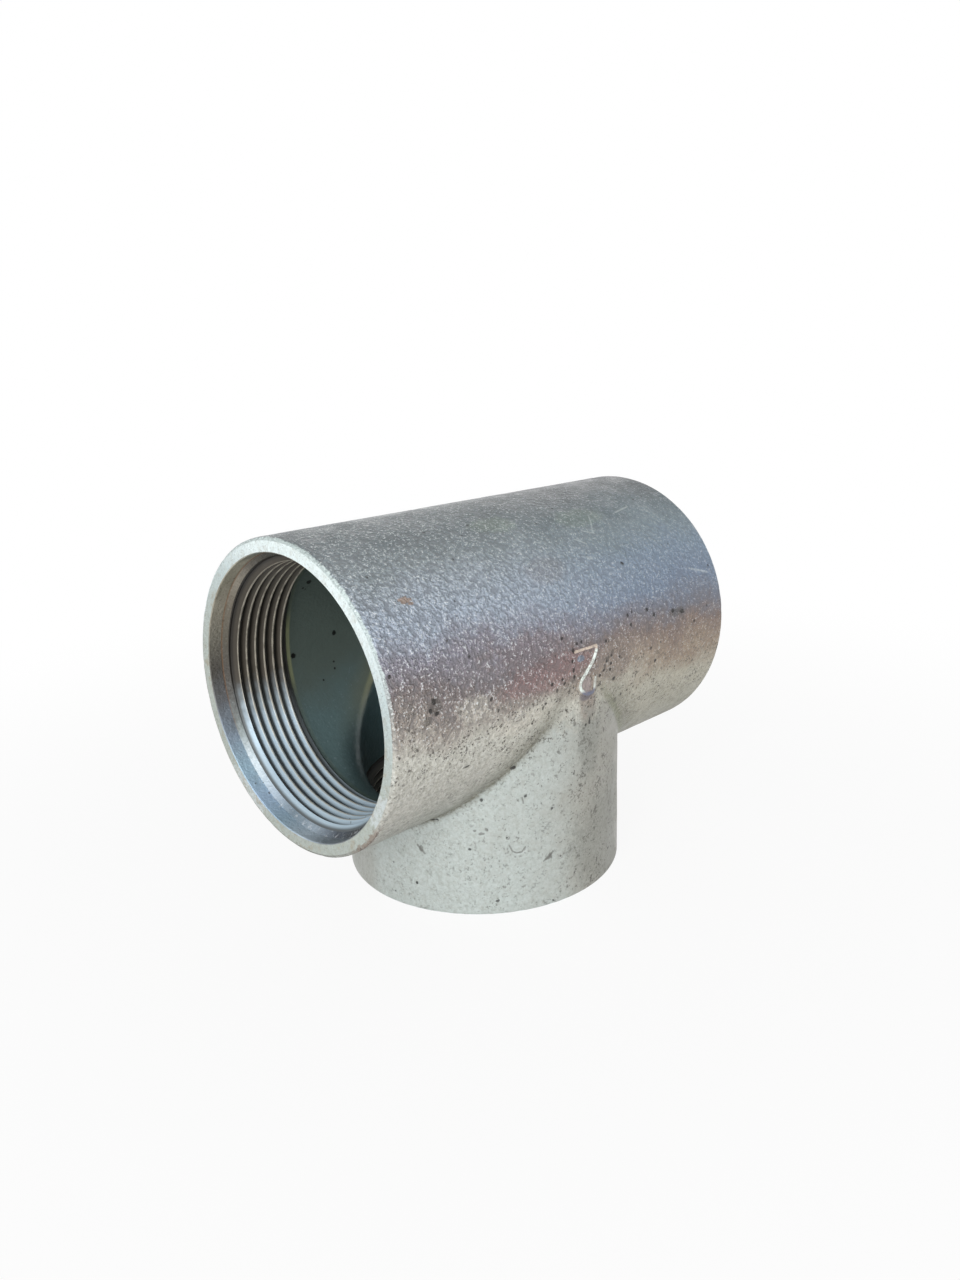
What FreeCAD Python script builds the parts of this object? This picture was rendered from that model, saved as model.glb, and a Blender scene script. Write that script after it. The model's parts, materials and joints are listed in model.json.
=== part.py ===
# Threaded pipe tee, cast in one piece, for three 2 inch pipes.
# Millimetres. The tee stands on the end face of its branch, +Z is up, the run lies along X,
# and the origin is the centre of the branch end face.
import FreeCAD
import Part
import os
import Sketcher

doc = FreeCAD.newDocument("pipe_tee")

# Driving sizes, each written once. Everything grows outward from the thread bore, and every
# length along an end is laid off from its face inward.
sizeRows = [
    ("threadBore", 56.656, "bore at the crests of the pipe thread"),
    ("reliefDepth", 1.472, "how far the chamber wall lies outside the thread bore"),
    ("castWall", 4.5, "wall of the casting around the chamber"),
    ("branchInset", 0.2, "how much smaller the radii of the branch are than those of the run"),
    ("countersink", 2.672, "45 degree lead from the recess down to the thread bore"),
    ("recessDepth", 3.2, "end face to the floor of the turned recess"),
    ("threadDepth", 17.9, "end face to the inner end of the thread"),
    ("reliefLength", 2.0, "slope from the thread out to the chamber wall"),
    ("runStraight", 5.5, "plain chamber wall in the run, from the slope to the crotch"),
    ("branchStraight", 4.9, "plain chamber wall in the branch, from the slope to the crotch"),
    ("endChamfer", 0.8, "broken outer edge of each end"),
    ("outerBlend", 3.0, "fillet where the branch leaves the run, outside"),
    ("innerBlend", 4.2, "fillet where the two chambers meet, inside"),
]

sheet = doc.addObject("Spreadsheet::Sheet", "Sizes")
for row, (alias, value, meaning) in enumerate(sizeRows, start=1):
    sheet.set("A%d" % row, alias)
    sheet.set("B%d" % row, str(value))
    sheet.set("C%d" % row, meaning)
    sheet.setAlias("B%d" % row, alias)
doc.recompute()

# Radii, from the bore outward
threadRadius = "Sizes.threadBore / 2"
recessRadius = "(Sizes.threadBore / 2 + Sizes.countersink)"
runChamber = "(Sizes.threadBore / 2 + Sizes.reliefDepth)"
branchChamber = "(Sizes.threadBore / 2 + Sizes.reliefDepth - Sizes.branchInset)"
runOutside = "(" + runChamber + " + Sizes.castWall)"
branchOutside = "(" + branchChamber + " + Sizes.castWall)"

# Depths below an end face, and the two centre to face lengths that they add up to
threadStart = "(Sizes.recessDepth + Sizes.countersink)"
chamberStart = "(Sizes.threadDepth + Sizes.reliefLength)"
halfRun = "(" + chamberStart + " + Sizes.runStraight + " + branchChamber + ")"
branchReach = "(" + chamberStart + " + Sizes.branchStraight + " + runChamber + ")"


def originPlane(body, role):
    for feature in body.Origin.OriginFeatures:
        if feature.Role == role:
            return feature
    raise RuntimeError("no origin feature " + role)


def newSketch(body, name, height=None):
    # A sketch on the body's upright plane, with its own origin at the given height
    sketch = body.newObject("Sketcher::SketchObject", name)
    sketch.AttachmentSupport = [(originPlane(body, "XZ_Plane"), "")]
    sketch.MapMode = "FlatFace"
    if height:
        sketch.setExpression("AttachmentOffset.Base.y", height)
    doc.recompute()
    return sketch


def bindCorner(sketch, index, kind, word, expression, value):
    # Ties one coordinate of a corner to its expression, or to the axis where there is none
    if expression is None:
        axis = -2 if kind == "DistanceX" else -1
        sketch.addConstraint(Sketcher.Constraint("PointOnObject", index, 1, axis))
        return
    number = sketch.addConstraint(Sketcher.Constraint(kind, -1, 1, index, 1, value))
    name = "%s%d" % (word, index)
    sketch.renameConstraint(number, name)
    sketch.setExpression("Constraints." + name, expression)


def drawOutline(sketch, corners):
    # A closed outline of straight lines. Each corner is a pair of expressions for its
    # distances from the sketch origin, and None puts the corner on that axis.
    places = []
    for across, up in corners:
        x = float(sketch.evalExpression(across)) if across else 0.0
        y = float(sketch.evalExpression(up)) if up else 0.0
        places.append(FreeCAD.Vector(x, y, 0))
    following = places[1:] + places[:1]
    for place, nextPlace in zip(places, following):
        sketch.addGeometry(Part.LineSegment(place, nextPlace), False)
    for index in range(len(places)):
        after = (index + 1) % len(places)
        sketch.addConstraint(Sketcher.Constraint("Coincident", index, 2, after, 1))
    for index, (across, up) in enumerate(corners):
        bindCorner(sketch, index, "DistanceX", "across", across, places[index].x)
        bindCorner(sketch, index, "DistanceY", "up", up, places[index].y)
    doc.recompute()


def revolve(body, kind, name, sketch, axis):
    feature = body.newObject(kind, name)
    feature.Profile = sketch
    feature.ReferenceAxis = (sketch, [axis])
    feature.Angle = 360
    doc.recompute()
    return feature


def dressEdges(body, kind, name, base, sizeProperty, size, chosen):
    # A fillet or chamfer on every edge of the base feature that is one of the chosen kind
    names = ["Edge%d" % n for n, edge in enumerate(base.Shape.Edges, start=1) if chosen(edge)]
    feature = body.newObject(kind, name)
    feature.Base = (base, names)
    feature.setExpression(sizeProperty, size)
    doc.recompute()
    return feature


def fillet(body, name, base, radius, chosen):
    return dressEdges(body, "PartDesign::Fillet", name, base, "Radius", radius, chosen)


def chamfer(body, name, base, size, chosen):
    return dressEdges(body, "PartDesign::Chamfer", name, base, "Size", size, chosen)


def isCircle(edge):
    return isinstance(edge.Curve, Part.Circle)


def isCrossing(edge):
    # Where two barrels or two chambers cross, the edge is neither round nor straight
    return not isinstance(edge.Curve, (Part.Circle, Part.Line))


def isChamberCrossing(edge):
    # The chambers cross inside the middle of the branch wall, and the barrels outside it
    wallMiddle = float(sheet.evalExpression(branchChamber + " + Sizes.castWall / 2"))
    return isCrossing(edge) and edge.BoundBox.XMax < wallMiddle


body = doc.addObject("PartDesign::Body", "tee_body")
body.Label = "tee_body"
doc.recompute()

# Outside: a plain barrel for the run and one for the branch, blended where they cross
runOutline = newSketch(body, "RunOutline", branchReach)
drawOutline(runOutline, [
    ("-" + halfRun, None),
    ("-" + halfRun, runOutside),
    (halfRun, runOutside),
    (halfRun, None),
])
runBarrel = revolve(body, "PartDesign::Revolution", "RunBarrel", runOutline, "H_Axis")

branchOutline = newSketch(body, "BranchOutline")
drawOutline(branchOutline, [
    (None, None),
    (branchOutside, None),
    (branchOutside, branchReach),
    (None, branchReach),
])
branchBarrel = revolve(body, "PartDesign::Revolution", "BranchBarrel", branchOutline, "V_Axis")

outerCrotch = fillet(body, "OuterCrotch", branchBarrel, "Sizes.outerBlend", isCrossing)
endChamfer = chamfer(body, "EndChamfer", outerCrotch, "Sizes.endChamfer", isCircle)

# Inside: each mouth has a turned recess, a countersunk thread bore and a slope out to the
# chamber. The fine thread itself isn't drawn, and the bore stands at its crests.
runMouth = [
    (halfRun, recessRadius),
    (halfRun + " - Sizes.recessDepth", recessRadius),
    (halfRun + " - " + threadStart, threadRadius),
    (halfRun + " - Sizes.threadDepth", threadRadius),
    (halfRun + " - " + chamberStart, runChamber),
]
farMouth = [("-(" + across + ")", up) for across, up in reversed(runMouth)]
runCore = newSketch(body, "RunCore", branchReach)
drawOutline(runCore, [(halfRun, None)] + runMouth + farMouth + [("-" + halfRun, None)])
runWaterway = revolve(body, "PartDesign::Groove", "RunWaterway", runCore, "H_Axis")

branchCore = newSketch(body, "BranchCore")
drawOutline(branchCore, [
    (None, None),
    (recessRadius, None),
    (recessRadius, "Sizes.recessDepth"),
    (threadRadius, threadStart),
    (threadRadius, "Sizes.threadDepth"),
    (branchChamber, chamberStart),
    (branchChamber, branchReach),
    (None, branchReach),
])
branchWaterway = revolve(body, "PartDesign::Groove", "BranchWaterway", branchCore, "V_Axis")

# The inner blend has to end on the plain chamber wall, so the shorter stretch limits it
innerRadius = "min(Sizes.innerBlend; 0.95 * Sizes.branchStraight; 0.95 * Sizes.runStraight)"
innerCrotch = fillet(body, "InnerCrotch", branchWaterway, innerRadius, isChamberCrossing)
body.Tip = innerCrotch
doc.recompute()

# Every feature has to stand, and each has to add or remove metal, before anything is written
for item in doc.Objects:
    if "Invalid" in item.State or "Error" in item.State:
        raise RuntimeError("failed: " + item.Name)
stages = [
    runBarrel, branchBarrel, outerCrotch, endChamfer, runWaterway, branchWaterway, innerCrotch,
]
for before, after in zip(stages, stages[1:]):
    if abs(after.Shape.Volume - before.Shape.Volume) < 1.0:
        raise RuntimeError("changed nothing: " + after.Name)
casting = body.Shape
if casting.isNull() or not casting.isValid() or len(casting.Solids) != 1:
    raise RuntimeError("the casting is not one valid solid")

os.makedirs("parts", exist_ok=True)
casting.exportStep(os.path.join("parts", body.Label + ".step"))

for word, expression in (
        ("half the run", halfRun),
        ("branch reach", branchReach),
        ("run outside radius", runOutside),
        ("branch outside radius", branchOutside),
        ("thread bore radius", threadRadius),
        ("thread bore starts below the face", threadStart),
        ("chamber starts below the face", chamberStart)):
    print("%s %.3f mm" % (word, float(sheet.evalExpression(expression))))
print("volume %.0f mm3, %d faces" % (casting.Volume, len(casting.Faces)))
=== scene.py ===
import json
import math

import bmesh
import bpy
import numpy as np
from mathutils import Matrix, Vector, noise


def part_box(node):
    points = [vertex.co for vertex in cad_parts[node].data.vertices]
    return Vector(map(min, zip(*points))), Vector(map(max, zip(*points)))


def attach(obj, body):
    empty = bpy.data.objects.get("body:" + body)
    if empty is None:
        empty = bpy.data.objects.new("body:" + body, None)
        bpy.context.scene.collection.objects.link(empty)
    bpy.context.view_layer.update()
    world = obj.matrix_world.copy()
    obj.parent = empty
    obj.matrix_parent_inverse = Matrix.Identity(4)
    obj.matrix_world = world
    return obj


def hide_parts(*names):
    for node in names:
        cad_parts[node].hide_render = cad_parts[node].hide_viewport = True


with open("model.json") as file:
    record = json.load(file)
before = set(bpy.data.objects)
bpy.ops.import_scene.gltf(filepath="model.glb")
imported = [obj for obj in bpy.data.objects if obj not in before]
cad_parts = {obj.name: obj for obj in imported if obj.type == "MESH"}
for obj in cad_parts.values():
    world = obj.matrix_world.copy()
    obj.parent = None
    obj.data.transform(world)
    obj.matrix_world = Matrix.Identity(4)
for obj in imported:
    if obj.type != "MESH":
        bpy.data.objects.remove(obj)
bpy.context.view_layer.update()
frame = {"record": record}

mm = 0.001  # sizes below are in millimetres and the scene is in metres
fullTurn = 2 * math.pi


# Sizes that the part itself fixes

boxLow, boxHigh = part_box("tee_body")
mounts = {mount["name"]: mount for mount in frame["record"]["mounts"]}
halfRun = boxHigh.x / mm
runRadius = (boxHigh.y - boxLow.y) / 2 / mm
branchReach = boxHigh.z / mm - runRadius  # height of the run's axis above the branch end face
boreRadius = mounts["run_thread_near"]["dims"]["r_mm"]


# The casting: one closed mesh, drawn as three arms that meet where the barrels cross

casting = {
    "columns": 180,  # mesh columns round each arm, a multiple of 4
    "skinRows": 54,  # mesh rows along the outside of each arm
    "chamberRows": 22,
    "branchInset": 0.2,  # the branch is this much slimmer in radius than the run
    "wall": 4.5,
    "outerBlend": 3.0,  # fillets where the branch leaves the run
    "innerBlend": 4.2,
    "edgeRounding": 0.8,  # outer edge of each end
    "edgeRows": 6,
    "recessRadius": 31.0,
    "recessDepth": 3.2,
    "lipBreak": 0.18,  # broken edge between the end face and the recess
    "leadEnd": 4.3,  # the 45 degree lead runs clear of the thread up to here
    "threadEnd": 17.9,
    "threadFade": 19.5,  # the thread has run out in the relief slope here
    "chamberStart": 19.9,
    "reliefSlope": 0.925,
    "seatSteps": 6,  # how often each point is moved on to the fillets
    "weldReach": 0.002,
    "sharpFrom": 42,  # degrees between faces that leave a sharp edge
    "mouthsFrom": 32.0,  # further along the run than this, the inside is one of its mouths
}

thread = {
    "pitch": 2.309,
    "firstCrest": 5.8,  # below the end face
    "taper": 1 / 32,  # of the radius, along the axis
    "depth": 1.479,
    "rounding": 0.317,  # of crest and root
    "roundingReach": 0.2812,  # half of the pitch that the rounding takes
    "flankSlope": 1.921,
    "rowOffsets": (-1.0045, -0.8733, -0.2812, -0.15, 0.0, 0.15, 0.2812, 0.8733, 1.0045, 1.1545),
    "snap": 0.06,  # rows nearer than this to the end of the thread join it
}

# The rough of the casting only takes metal away, so the size stays that of the part
roughness = {
    "swellSize": 13.0,
    "swellDepth": 0.10,
    "lumpSize": 4.2,
    "lumpDepth": 0.055,
    "chipSize": 1.7,  # chips along the outer edge of each end
    "chipDepth": 0.20,
    "chipShare": 0.12,
}

skinZone, faceZone, recessZone, threadZone, chamberZone = range(5)

# What the mesh notes at each point: all of the rough on the barrels, less of it over a rounded
# edge, none on turned surfaces, and a mark of its own on the chamber walls
onBarrel, edgeTop, turned, onChamber = 1.0, 0.9, 0.0, -1.0
faint = 0.001  # less of the rough than this is none


def arm(face, inward, across, up, cross):
    return {
        "face": np.array(face, float),
        "inward": np.array(inward, float),
        "across": np.array(across, float),
        "up": np.array(up, float),
        "cross": cross,  # how far the crossing curve comes up each column, as a share of the radius
    }


def armPoints(side, depth, radius, turns):
    # Points at a depth below the arm's end face and a radius about its axis
    spoke = np.cos(turns)[:, None] * side["across"] + np.sin(turns)[:, None] * side["up"]
    return side["face"] + np.outer(depth, side["inward"]) + radius[:, None] * spoke


def threadRadius(depth, turns):
    # Radius of the cut bore: a right-hand Whitworth form on a taper, with its lead and relief
    phase = (depth - thread["firstCrest"]) / thread["pitch"] - turns / fullTurn
    offset = np.abs((phase + 0.5) % 1.0 - 0.5) * thread["pitch"]
    rounding, reach = thread["rounding"], thread["roundingReach"]
    crestSide = rounding - math.sqrt(rounding**2 - reach**2)
    crest = rounding - np.sqrt(np.clip(rounding**2 - offset**2, 0, None))
    flank = crestSide + (offset - reach) * thread["flankSlope"]
    rootOffset = thread["pitch"] / 2 - offset
    root = thread["depth"] - rounding + np.sqrt(np.clip(rounding**2 - rootOffset**2, 0, None))
    cut = np.where(offset < reach, crest, np.where(rootOffset < reach, root, flank))
    crestRadius = boreRadius - (depth - thread["firstCrest"]) * thread["taper"]
    lead = casting["recessRadius"] - (depth - casting["recessDepth"])
    endRadius = boreRadius - (casting["threadEnd"] - thread["firstCrest"]) * thread["taper"]
    relief = endRadius + (depth - casting["threadEnd"]) * casting["reliefSlope"]
    return np.maximum(np.maximum(crestRadius + cut, lead), relief)


def skinStrip(side, reach, radius, turns):
    # From the crossing curve along the outside, round the edge, over the end face, down the
    # recess and its lead, to the first ring of the thread
    common = runRadius - casting["branchInset"] / 2
    rounding = casting["edgeRounding"]
    crossing = reach - common * side["cross"](turns)
    same = np.ones_like(turns)
    rows, zones, shares = [], [], []
    for share in np.linspace(1, 0, casting["skinRows"]):
        rows.append(armPoints(side, rounding + (crossing - rounding) * share, common * same, turns))
        shares.append(onBarrel)
        zones.append(skinZone)
    for step in range(1, casting["edgeRows"] + 1):
        angle = math.pi / 2 * step / casting["edgeRows"]
        depth = rounding * (1 - math.sin(angle))
        ring = radius - rounding * (1 - math.cos(angle))
        rows.append(armPoints(side, depth * same, ring * same, turns))
        shares.append(edgeTop * math.cos(angle))
        zones.append(skinZone if step < casting["edgeRows"] else faceZone)
    inner, lip = casting["recessRadius"], casting["lipBreak"]
    faceWidth = radius - rounding - inner - lip
    floor = casting["recessDepth"]
    lead = casting["leadEnd"] - floor
    lower = [(0, inner + lip + faceWidth * share, faceZone) for share in (0.66, 0.33)]
    lower += [(0, inner + lip, recessZone), (lip, inner, recessZone)]
    lower += [(floor * share, inner, recessZone) for share in (0.3, 0.6, 0.85, 1.0)]
    lower += [(floor + lead * share, inner - lead * share, recessZone) for share in (0.5, 1.0)]
    for depth, ring, zone in lower:
        rows.append(armPoints(side, depth * same, ring * same, turns))
        shares.append(turned)
        zones.append(zone)
    return {"rows": rows, "zones": zones, "skin": shares, "shift": 0}


def threadStrip(side, turns):
    # Rows that follow the helix. After one turn a row has become the row one pitch further in.
    first, last = casting["leadEnd"], casting["threadFade"]
    perPitch = len(thread["rowOffsets"])
    pitches = range(-2, math.ceil((last - first) / thread["pitch"]) + 2)
    rows = []
    for number in pitches:
        for offset in thread["rowOffsets"]:
            depth = thread["firstCrest"] + thread["pitch"] * (number + turns / fullTurn) + offset
            depth = np.where(depth < first + thread["snap"], first, depth)
            depth = np.where(depth > last - thread["snap"], last, depth)
            rows.append(armPoints(side, depth, threadRadius(depth, turns), turns))
    count = len(rows)
    return {"rows": rows, "zones": [threadZone] * count, "skin": [turned] * count, "shift": perPitch}


def chamberStrip(side, reach, turns):
    common = runRadius - casting["wall"] - casting["branchInset"] / 2
    start = casting["chamberStart"]
    crossing = reach - common * side["cross"](turns)
    same = np.ones_like(turns)
    fade = casting["threadFade"] * same
    rows = [armPoints(side, fade, threadRadius(fade, turns), turns)]
    shares = [turned]
    for share in np.linspace(0, 1, casting["chamberRows"]):
        rows.append(armPoints(side, start + (crossing - start) * share, common * same, turns))
        shares.append(onChamber)
    return {"rows": rows, "zones": [threadZone] + [chamberZone] * len(rows), "skin": shares, "shift": 0}


def stripFaces(strip, first, columns):
    # Quads between neighbouring rows. The last column joins the first one, a number of rows
    # further on where the rows follow a helix.
    count = len(strip["rows"])
    grid = first + np.arange(count * columns).reshape(count, columns)
    quads, zones = [], []
    for row in range(count - 1):
        nearCol, farCol = grid[row], grid[row + 1]
        quad = np.stack([nearCol[:-1], nearCol[1:], farCol[1:], farCol[:-1]], 1)
        quads.append(quad)
        zones += [strip["zones"][row]] * len(quad)
        onward = row + strip["shift"]
        if onward + 1 < count:
            seam = (nearCol[-1], grid[onward][0], grid[onward + 1][0], farCol[-1])
            quads.append(np.array([seam]))
            zones.append(strip["zones"][row])
    return np.concatenate(quads), zones


def barrelDistance(points, drop, blend):
    # Signed distance to the two crossing barrels, joined by a fillet, and the direction away
    # from them. The drop is how far the surface lies inside the outside of the casting.
    x, y, z = points[:, 0], points[:, 1], points[:, 2] - branchReach
    aroundRun = np.stack([np.zeros_like(x), y, z], 1)
    aroundBranch = np.stack([x, y, np.where(z > 0, z, 0)], 1)
    runLength = np.linalg.norm(aroundRun, axis=1)
    branchLength = np.linalg.norm(aroundBranch, axis=1)
    runAway = aroundRun / runLength[:, None]
    branchAway = aroundBranch / branchLength[:, None]
    toRun = runLength - (runRadius - drop)
    toBranch = branchLength - (runRadius - casting["branchInset"] - drop)
    reach = np.maximum(blend * (1 - (runAway * branchAway).sum(1)), 1e-6)
    share = np.clip(0.5 + 0.5 * (toBranch - toRun) / reach, 0, 1)
    distance = toBranch + (toRun - toBranch) * share - reach * share * (1 - share)
    away = branchAway + (runAway - branchAway) * share[:, None]
    return distance, away


def seatOnBarrels(points, drop, blend):
    points = points.copy()
    for step in range(casting["seatSteps"]):
        distance, away = barrelDistance(points, drop, blend)
        points -= away * (distance / (away**2).sum(1))[:, None]
    away = barrelDistance(points, drop, blend)[1]
    return points, away / np.linalg.norm(away, axis=1)[:, None]


def noiseAt(points, size, seed):
    shift = Vector((seed * 17.3, seed * 5.9, seed * 11.1))
    return np.array([noise.noise(Vector(point) / size + shift) for point in points])


# The size numeral, raised on the side where the branch leaves the run. It is cast the other
# way up. Each point is a distance along the run and a distance up round it, and a width.

numeral = {
    "bar": [(-3.6, 4.86, 0.75), (3.2, 4.72, 0.75), (3.75, 4.6, 0.8)],
    "neck": [
        (3.55, 4.7, 0.9), (3.45, 3.6, 1.1), (2.0, 1.5, 1.1), (0.25, -0.15, 1.1), (-1.4, -1.65, 1.1),
        (-2.15, -2.9, 1.05), (-1.9, -3.9, 1.0), (-1.0, -5.0, 1.0), (0.5, -5.75, 1.0),
        (2.2, -5.75, 1.0), (2.95, -5.0, 1.0), (2.95, -3.6, 0.95), (3.05, -2.5, 0.8),
    ],
    "height": 0.48,
    "softEdge": 0.28,
    "window": (6.4, 9.3, -10.4),  # half width, top and bottom of the patch with a finer mesh
    "meshCuts": 4,
}


def smoothLine(points, steps=6):
    # Points on a smooth curve through the given ones
    padded = np.array([points[0], *points, points[-1]])
    line = []
    for before, start, end, after in zip(padded, padded[1:], padded[2:], padded[3:]):
        square = 2 * before - 5 * start + 4 * end - after
        cube = 3 * start - before - 3 * end + after
        for t in np.arange(steps) / steps:
            line.append(0.5 * (2 * start + (end - before) * t + square * t**2 + cube * t**3))
    return np.array(line + [padded[-1]])


def strokeHeight(across, up, line):
    # Height of the stroke at each place: full near its line, and a soft shoulder at its edge
    height = np.zeros_like(across)
    for start, end in zip(line, line[1:]):
        run = end[:2] - start[:2]
        t = np.clip(((across - start[0]) * run[0] + (up - start[1]) * run[1]) / (run @ run), 0, 1)
        gap = np.hypot(across - start[0] - run[0] * t, up - start[1] - run[1] * t)
        halfWidth = (start[2] + (end[2] - start[2]) * t) / 2
        rise = np.clip((halfWidth + numeral["softEdge"] - gap) / (2 * numeral["softEdge"]), 0, 1)
        height = np.maximum(height, rise * rise * (3 - 2 * rise))
    return height * numeral["height"]


def sidePlace(points):
    # Where a point of the near side lies: along the run, and up round it from its axis
    up = np.arctan2(points[:, 2] - branchReach, -points[:, 1]) * runRadius
    return points[:, 0], up


def inNumeralWindow(points):
    halfWidth, top, bottom = numeral["window"]
    across, up = sidePlace(points)
    return (np.abs(across) < halfWidth) & (up < top) & (up > bottom) & (points[:, 1] < 0)


def makeCastingMesh():
    turns = fullTurn * np.arange(casting["columns"]) / casting["columns"]
    branchRadius = runRadius - casting["branchInset"]
    sides = [
        (arm((-halfRun, 0, branchReach), (1, 0, 0), (0, 1, 0), (0, 0, 1),
             lambda turn: np.maximum(0, -np.sin(turn))), halfRun, runRadius),
        (arm((halfRun, 0, branchReach), (-1, 0, 0), (0, 1, 0), (0, 0, -1),
             lambda turn: np.maximum(0, np.sin(turn))), halfRun, runRadius),
        (arm((0, 0, 0), (0, 0, 1), (1, 0, 0), (0, 1, 0),
             lambda turn: np.abs(np.cos(turn))), branchReach, branchRadius),
    ]
    points, quads, zones, skin = [], [], [], []
    for side, reach, radius in sides:
        strips = (
            skinStrip(side, reach, radius, turns),
            threadStrip(side, turns),
            chamberStrip(side, reach, turns),
        )
        for strip in strips:
            faces, faceZones = stripFaces(strip, sum(len(part) for part in points), len(turns))
            points += strip["rows"]
            quads.append(faces)
            zones += faceZones
            skin += [share for share in strip["skin"] for column in turns]
    mesh = bpy.data.meshes.new("tee_casting")
    mesh.from_pydata(np.concatenate(points).tolist(), [], np.concatenate(quads).tolist())
    mesh.attributes.new("skin", "FLOAT", "POINT").data.foreach_set("value", skin)
    mesh.polygons.foreach_set("material_index", zones)

    # Weld the arms, which also closes the rows that end in the rings of the thread
    shape = bmesh.new()
    shape.from_mesh(mesh)
    bmesh.ops.remove_doubles(shape, verts=shape.verts, dist=casting["weldReach"])
    places = np.array([vert.co for vert in shape.verts])
    skinLayer = shape.verts.layers.float["skin"]
    near = inNumeralWindow(places) & (np.array([vert[skinLayer] for vert in shape.verts]) > edgeTop)
    shape.verts.index_update()
    fine = [edge for edge in shape.edges if all(near[vert.index] for vert in edge.verts)]
    bmesh.ops.subdivide_edges(shape, edges=fine, cuts=numeral["meshCuts"], use_grid_fill=True)
    bmesh.ops.recalc_face_normals(shape, faces=shape.faces)
    shape.to_mesh(mesh)
    shape.free()
    return mesh


def shapeCastingMesh(mesh):
    count = len(mesh.vertices)
    places = np.empty(count * 3)
    mesh.vertices.foreach_get("co", places)
    places = places.reshape(count, 3)
    skin = np.empty(count)
    mesh.attributes["skin"].data.foreach_get("value", skin)

    inside = skin < onChamber / 2
    places[inside] = seatOnBarrels(places[inside], casting["wall"], casting["innerBlend"])[0]
    outside = skin > edgeTop
    places[outside] = seatOnBarrels(places[outside], 0, casting["outerBlend"])[0]

    # The rough of the casting, and chips along the edges of the ends
    asCast = skin > faint
    rough = places[asCast]
    away = seatOnBarrels(rough, 0, casting["outerBlend"])[1]
    swell = 0.5 + 0.5 * noiseAt(rough, roughness["swellSize"], 1)
    lump = 0.5 + 0.5 * noiseAt(rough, roughness["lumpSize"], 2)
    depth = swell * roughness["swellDepth"] + lump * roughness["lumpDepth"]
    chip = np.clip(noiseAt(rough, roughness["chipSize"], 3) - roughness["chipShare"], 0, 1)
    share = skin[asCast]
    chipWeight = np.where(share > edgeTop, 0, 4 * share * (1 - share))
    depth = depth * np.minimum(share / edgeTop, 1) + chip * chipWeight * roughness["chipDepth"]
    across, up = sidePlace(rough)
    raised = np.maximum(
        strokeHeight(across, up, np.array(numeral["bar"])),
        strokeHeight(across, up, smoothLine(numeral["neck"])))
    raised = np.where(inNumeralWindow(rough), raised, 0)
    places[asCast] = rough + away * (raised - depth)[:, None]

    mesh.vertices.foreach_set("co", (places * mm).ravel())
    mesh.attributes.remove(mesh.attributes["skin"])
    mesh.update()


print("casting: mesh")
castingMesh = makeCastingMesh()
shapeCastingMesh(castingMesh)
castingMesh.shade_smooth()
castingMesh.set_sharp_from_angle(angle=math.radians(casting["sharpFrom"]))
tee = bpy.data.objects.new("tee_casting", castingMesh)
bpy.context.scene.collection.objects.link(tee)
castingMesh.calc_loop_triangles()
print("casting: %d triangles" % len(castingMesh.loop_triangles))


# Shader helpers

def seen(red, green, blue):
    # A colour as it is seen on screen, 0 to 255, as the linear colour that a shader takes
    shares = [channel / 255 for channel in (red, green, blue)]
    return tuple(c / 12.92 if c <= 0.04045 else ((c + 0.055) / 1.055) ** 2.4 for c in shares)


def isSocket(value):
    return isinstance(value, bpy.types.NodeSocket)


def feed(socket, value):
    if isSocket(value):
        socket.id_data.links.new(value, socket)
    elif socket.type == "RGBA":
        socket.default_value = (*value, 1.0)
    else:
        socket.default_value = value


def place(kind, settings, inputs, tree=None):
    # A new node, in the tree that its inputs come from, or in the one given
    tree = tree or next(value.id_data for value in inputs.values() if isSocket(value))
    made = tree.nodes.new(kind)
    for name, value in settings.items():
        setattr(made, name, value)
    for name, value in inputs.items():
        feed(made.inputs[name], value)
    return made


def work(operation, *values):
    return place("ShaderNodeMath", {"operation": operation}, dict(enumerate(values))).outputs[0]


def times(first, second):
    return work("MULTIPLY", first, second)


def timesPlus(value, factor, rest):
    return work("MULTIPLY_ADD", value, factor, rest)


def minus(first, second):
    return work("SUBTRACT", first, second)


def longSide(first, second):
    # The long side over one length and the square of the other
    return work("SQRT", timesPlus(first, first, second))


def larger(first, second):
    return work("MAXIMUM", first, second)


def unsigned(value):
    return work("ABSOLUTE", value)


def vectorWork(operation, *values):
    made = place("ShaderNodeVectorMath", {"operation": operation}, dict(enumerate(values)))
    single = operation in ("LENGTH", "DISTANCE", "DOT_PRODUCT")
    return made.outputs["Value"] if single else made.outputs[0]


def grown(vector, factor):
    made = place("ShaderNodeVectorMath", {"operation": "SCALE"}, {0: vector, "Scale": factor})
    return made.outputs[0]


def between(value, low, high, toLow=0.0, toHigh=1.0):
    # A soft step: toLow where the value is under low, and toHigh where it is over high
    inputs = {"Value": value, "From Min": low, "From Max": high, "To Min": toLow, "To Max": toHigh}
    return place("ShaderNodeMapRange", {"interpolation_type": "SMOOTHSTEP"}, inputs).outputs[0]


def mixed(share, first, second, blend="MIX"):
    settings = {"data_type": "RGBA", "blend_type": blend}
    return place("ShaderNodeMix", settings, {0: share, 6: first, 7: second}).outputs[2]


def mixedValue(share, first, second):
    inputs = {0: share, 2: first, 3: second}
    return place("ShaderNodeMix", {"data_type": "FLOAT"}, inputs).outputs[0]


def layer(colour, tint, mask, strength=None, blend="MIX"):
    # A tint laid over the colour where the mask says
    share = mask if strength is None else times(mask, strength)
    return mixed(share, colour, seen(*tint), blend)


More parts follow.
